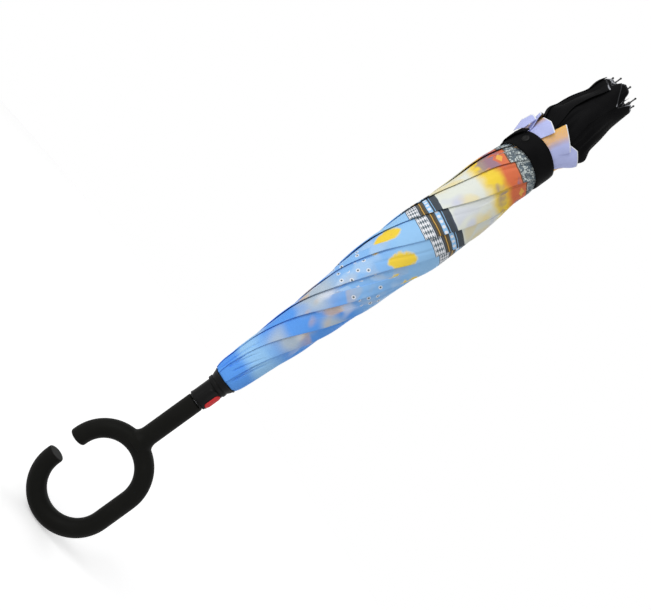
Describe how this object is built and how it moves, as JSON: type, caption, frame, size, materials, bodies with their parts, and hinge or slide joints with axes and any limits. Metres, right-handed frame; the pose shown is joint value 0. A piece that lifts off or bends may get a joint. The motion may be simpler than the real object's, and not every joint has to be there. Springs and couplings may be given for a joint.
{
  "type": "umbrella",
  "caption": "Closed reverse-folding umbrella with a double canopy, a C-shaped hands-free handle and a push-button runner.",
  "frame": {"origin": "centre of the C-shaped handle, where the hand or forearm holds it", "axes": "+Z along the shaft from the handle to the rib tips; +X towards the handle's straight side, with the release button 30 degrees from +X towards -Y; the handle's mouth is on the -X side"},
  "size_m": [0.1098, 0.071, 0.7961],
  "materials": {
    "handle": "matt soft-touch black",
    "runner_plastic": "satin black",
    "button": "satin red",
    "shaft_steel": "black enamel",
    "bright_steel": "bright",
    "rod": "black fibreglass",
    "tip_metal": "black nickel",
    "printed_fabric": "printed pongee, light sheen",
    "black_fabric": "black pongee"
  },
  "bodies": {
    "root": {"c_handle": "handle", "shaft_tube": "shaft_steel", "shaft_pin": "bright_steel", "top_notch": "runner_plastic", "crown_cap": "runner_plastic"},
    "runner": {"rib_hub": "runner_plastic", "runner_wire": "bright_steel", "runner_sleeve": "runner_plastic", "runner_collar": "runner_plastic", "button_spring": "bright_steel"},
    "button": {"release_button": "button"},
    "rib_0": {"rib_channel_0": "bright_steel", "rib_rod_0": "rod", "rib_tip_0": "tip_metal"},
    "stretcher_0": {"stretcher_0": "bright_steel"},
    "gore_0": {"inner_gore_0": "printed_fabric", "outer_gore_0": "black_fabric"},
    "rib_1": {"rib_channel_1": "bright_steel", "rib_rod_1": "rod", "rib_tip_1": "tip_metal"},
    "stretcher_1": {"stretcher_1": "bright_steel"},
    "gore_1": {"inner_gore_1": "printed_fabric", "outer_gore_1": "black_fabric"},
    "rib_2": {"rib_channel_2": "bright_steel", "rib_rod_2": "rod", "rib_tip_2": "tip_metal"},
    "stretcher_2": {"stretcher_2": "bright_steel"},
    "gore_2": {"inner_gore_2": "printed_fabric", "outer_gore_2": "black_fabric"},
    "rib_3": {"rib_channel_3": "bright_steel", "rib_rod_3": "rod", "rib_tip_3": "tip_metal"},
    "stretcher_3": {"stretcher_3": "bright_steel"},
    "gore_3": {"inner_gore_3": "printed_fabric", "outer_gore_3": "black_fabric"},
    "rib_4": {"rib_channel_4": "bright_steel", "rib_rod_4": "rod", "rib_tip_4": "tip_metal"},
    "stretcher_4": {"stretcher_4": "bright_steel"},
    "gore_4": {"inner_gore_4": "printed_fabric", "outer_gore_4": "black_fabric", "tie_strap": "black_fabric"},
    "rib_5": {"rib_channel_5": "bright_steel", "rib_rod_5": "rod", "rib_tip_5": "tip_metal"},
    "stretcher_5": {"stretcher_5": "bright_steel"},
    "gore_5": {"inner_gore_5": "printed_fabric", "outer_gore_5": "black_fabric"},
    "rib_6": {"rib_channel_6": "bright_steel", "rib_rod_6": "rod", "rib_tip_6": "tip_metal"},
    "stretcher_6": {"stretcher_6": "bright_steel"},
    "gore_6": {"inner_gore_6": "printed_fabric", "outer_gore_6": "black_fabric"},
    "rib_7": {"rib_channel_7": "bright_steel", "rib_rod_7": "rod", "rib_tip_7": "tip_metal"},
    "stretcher_7": {"stretcher_7": "bright_steel"},
    "gore_7": {"inner_gore_7": "printed_fabric", "outer_gore_7": "black_fabric"}
  },
  "joints": [
    {"name": "runner_slide", "type": "slide", "parent": "root", "child": "runner", "axis": [0, 0, 1], "range_m": [0, 0.37037], "deforming": ["inner_gore_0", "outer_gore_0", "inner_gore_1", "outer_gore_1", "inner_gore_2", "outer_gore_2", "inner_gore_3", "outer_gore_3", "inner_gore_4", "outer_gore_4", "inner_gore_5", "outer_gore_5", "inner_gore_6", "outer_gore_6", "inner_gore_7", "outer_gore_7", "tie_strap"]},
    {"name": "button_press", "type": "slide", "parent": "runner", "child": "button", "axis": [-0.866, 0.5, 0], "range_m": [0, 0.0024], "stiffness_N_per_m": 400, "springref_m": -0.001, "deforming": ["button_spring"]},
    {"name": "rib_fold_0", "type": "hinge", "parent": "runner", "child": "rib_0", "pos_m": [0.012, 0, 0.188], "axis": [0, 1, 0], "range_deg": [0, 104.3]},
    {"name": "stretcher_fold_0", "type": "hinge", "parent": "rib_0", "child": "stretcher_0", "pos_m": [0.01462, 0, 0.38798], "axis": [0, 1, 0], "range_deg": [-164.7, 0]},
    {"name": "gore_fan_0", "type": "hinge", "parent": "rib_0", "child": "gore_0", "pos_m": [0.01495, 0, 0.17637], "axis": [-0.9692, 0, -0.2462], "range_deg": [0, 45.05]},
    {"name": "rib_fold_1", "type": "hinge", "parent": "runner", "child": "rib_1", "pos_m": [0.00849, 0.00849, 0.188], "axis": [-0.7071, 0.7071, 0], "range_deg": [0, 104.3]},
    {"name": "stretcher_fold_1", "type": "hinge", "parent": "rib_1", "child": "stretcher_1", "pos_m": [0.01034, 0.01034, 0.38798], "axis": [-0.7071, 0.7071, 0], "range_deg": [-164.7, 0]},
    {"name": "gore_fan_1", "type": "hinge", "parent": "rib_1", "child": "gore_1", "pos_m": [0.01057, 0.01057, 0.17637], "axis": [-0.6853, -0.6853, -0.2462], "range_deg": [0, 45.05]},
    {"name": "rib_fold_2", "type": "hinge", "parent": "runner", "child": "rib_2", "pos_m": [0, 0.012, 0.188], "axis": [-1, 0, 0], "range_deg": [0, 104.3]},
    {"name": "stretcher_fold_2", "type": "hinge", "parent": "rib_2", "child": "stretcher_2", "pos_m": [0, 0.01462, 0.38798], "axis": [-1, 0, 0], "range_deg": [-164.7, 0]},
    {"name": "gore_fan_2", "type": "hinge", "parent": "rib_2", "child": "gore_2", "pos_m": [0, 0.01495, 0.17637], "axis": [0, -0.9692, -0.2462], "range_deg": [0, 45.05]},
    {"name": "rib_fold_3", "type": "hinge", "parent": "runner", "child": "rib_3", "pos_m": [-0.00849, 0.00849, 0.188], "axis": [-0.7071, -0.7071, 0], "range_deg": [0, 104.3]},
    {"name": "stretcher_fold_3", "type": "hinge", "parent": "rib_3", "child": "stretcher_3", "pos_m": [-0.01034, 0.01034, 0.38798], "axis": [-0.7071, -0.7071, 0], "range_deg": [-164.7, 0]},
    {"name": "gore_fan_3", "type": "hinge", "parent": "rib_3", "child": "gore_3", "pos_m": [-0.01057, 0.01057, 0.17637], "axis": [0.6853, -0.6853, -0.2462], "range_deg": [0, 45.05]},
    {"name": "rib_fold_4", "type": "hinge", "parent": "runner", "child": "rib_4", "pos_m": [-0.012, 0, 0.188], "axis": [0, -1, 0], "range_deg": [0, 104.3]},
    {"name": "stretcher_fold_4", "type": "hinge", "parent": "rib_4", "child": "stretcher_4", "pos_m": [-0.01462, 0, 0.38798], "axis": [0, -1, 0], "range_deg": [-164.7, 0]},
    {"name": "gore_fan_4", "type": "hinge", "parent": "rib_4", "child": "gore_4", "pos_m": [-0.01495, 0, 0.17637], "axis": [0.9692, 0, -0.2462], "range_deg": [0, 45.05]},
    {"name": "rib_fold_5", "type": "hinge", "parent": "runner", "child": "rib_5", "pos_m": [-0.00849, -0.00849, 0.188], "axis": [0.7071, -0.7071, 0], "range_deg": [0, 104.3]},
    {"name": "stretcher_fold_5", "type": "hinge", "parent": "rib_5", "child": "stretcher_5", "pos_m": [-0.01034, -0.01034, 0.38798], "axis": [0.7071, -0.7071, 0], "range_deg": [-164.7, 0]},
    {"name": "gore_fan_5", "type": "hinge", "parent": "rib_5", "child": "gore_5", "pos_m": [-0.01057, -0.01057, 0.17637], "axis": [0.6853, 0.6853, -0.2462], "range_deg": [0, 45.05]},
    {"name": "rib_fold_6", "type": "hinge", "parent": "runner", "child": "rib_6", "pos_m": [0, -0.012, 0.188], "axis": [1, 0, 0], "range_deg": [0, 104.3]},
    {"name": "stretcher_fold_6", "type": "hinge", "parent": "rib_6", "child": "stretcher_6", "pos_m": [0, -0.01462, 0.38798], "axis": [1, 0, 0], "range_deg": [-164.7, 0]},
    {"name": "gore_fan_6", "type": "hinge", "parent": "rib_6", "child": "gore_6", "pos_m": [0, -0.01495, 0.17637], "axis": [0, 0.9692, -0.2462], "range_deg": [0, 45.05]},
    {"name": "rib_fold_7", "type": "hinge", "parent": "runner", "child": "rib_7", "pos_m": [0.00849, -0.00849, 0.188], "axis": [0.7071, 0.7071, 0], "range_deg": [0, 104.3]},
    {"name": "stretcher_fold_7", "type": "hinge", "parent": "rib_7", "child": "stretcher_7", "pos_m": [0.01034, -0.01034, 0.38798], "axis": [0.7071, 0.7071, 0], "range_deg": [-164.7, 0]},
    {"name": "gore_fan_7", "type": "hinge", "parent": "rib_7", "child": "gore_7", "pos_m": [0.01057, -0.01057, 0.17637], "axis": [-0.6853, 0.6853, -0.2462], "range_deg": [0, 45.05]}
  ],
  "couplings": [
    {"joint": "rib_fold_0", "follows": "runner_slide", "rad_per_m": 4.9127},
    {"joint": "stretcher_fold_0", "follows": "runner_slide", "rad_per_m": -7.7591},
    {"joint": "gore_fan_0", "follows": "runner_slide", "rad_per_m": 2.1206},
    {"joint": "rib_fold_1", "follows": "runner_slide", "rad_per_m": 4.9127},
    {"joint": "stretcher_fold_1", "follows": "runner_slide", "rad_per_m": -7.7591},
    {"joint": "gore_fan_1", "follows": "runner_slide", "rad_per_m": 2.1206},
    {"joint": "rib_fold_2", "follows": "runner_slide", "rad_per_m": 4.9127},
    {"joint": "stretcher_fold_2", "follows": "runner_slide", "rad_per_m": -7.7591},
    {"joint": "gore_fan_2", "follows": "runner_slide", "rad_per_m": 2.1206},
    {"joint": "rib_fold_3", "follows": "runner_slide", "rad_per_m": 4.9127},
    {"joint": "stretcher_fold_3", "follows": "runner_slide", "rad_per_m": -7.7591},
    {"joint": "gore_fan_3", "follows": "runner_slide", "rad_per_m": 2.1206},
    {"joint": "rib_fold_4", "follows": "runner_slide", "rad_per_m": 4.9127},
    {"joint": "stretcher_fold_4", "follows": "runner_slide", "rad_per_m": -7.7591},
    {"joint": "gore_fan_4", "follows": "runner_slide", "rad_per_m": 2.1206},
    {"joint": "rib_fold_5", "follows": "runner_slide", "rad_per_m": 4.9127},
    {"joint": "stretcher_fold_5", "follows": "runner_slide", "rad_per_m": -7.7591},
    {"joint": "gore_fan_5", "follows": "runner_slide", "rad_per_m": 2.1206},
    {"joint": "rib_fold_6", "follows": "runner_slide", "rad_per_m": 4.9127},
    {"joint": "stretcher_fold_6", "follows": "runner_slide", "rad_per_m": -7.7591},
    {"joint": "gore_fan_6", "follows": "runner_slide", "rad_per_m": 2.1206},
    {"joint": "rib_fold_7", "follows": "runner_slide", "rad_per_m": 4.9127},
    {"joint": "stretcher_fold_7", "follows": "runner_slide", "rad_per_m": -7.7591},
    {"joint": "gore_fan_7", "follows": "runner_slide", "rad_per_m": 2.1206}
  ]
}
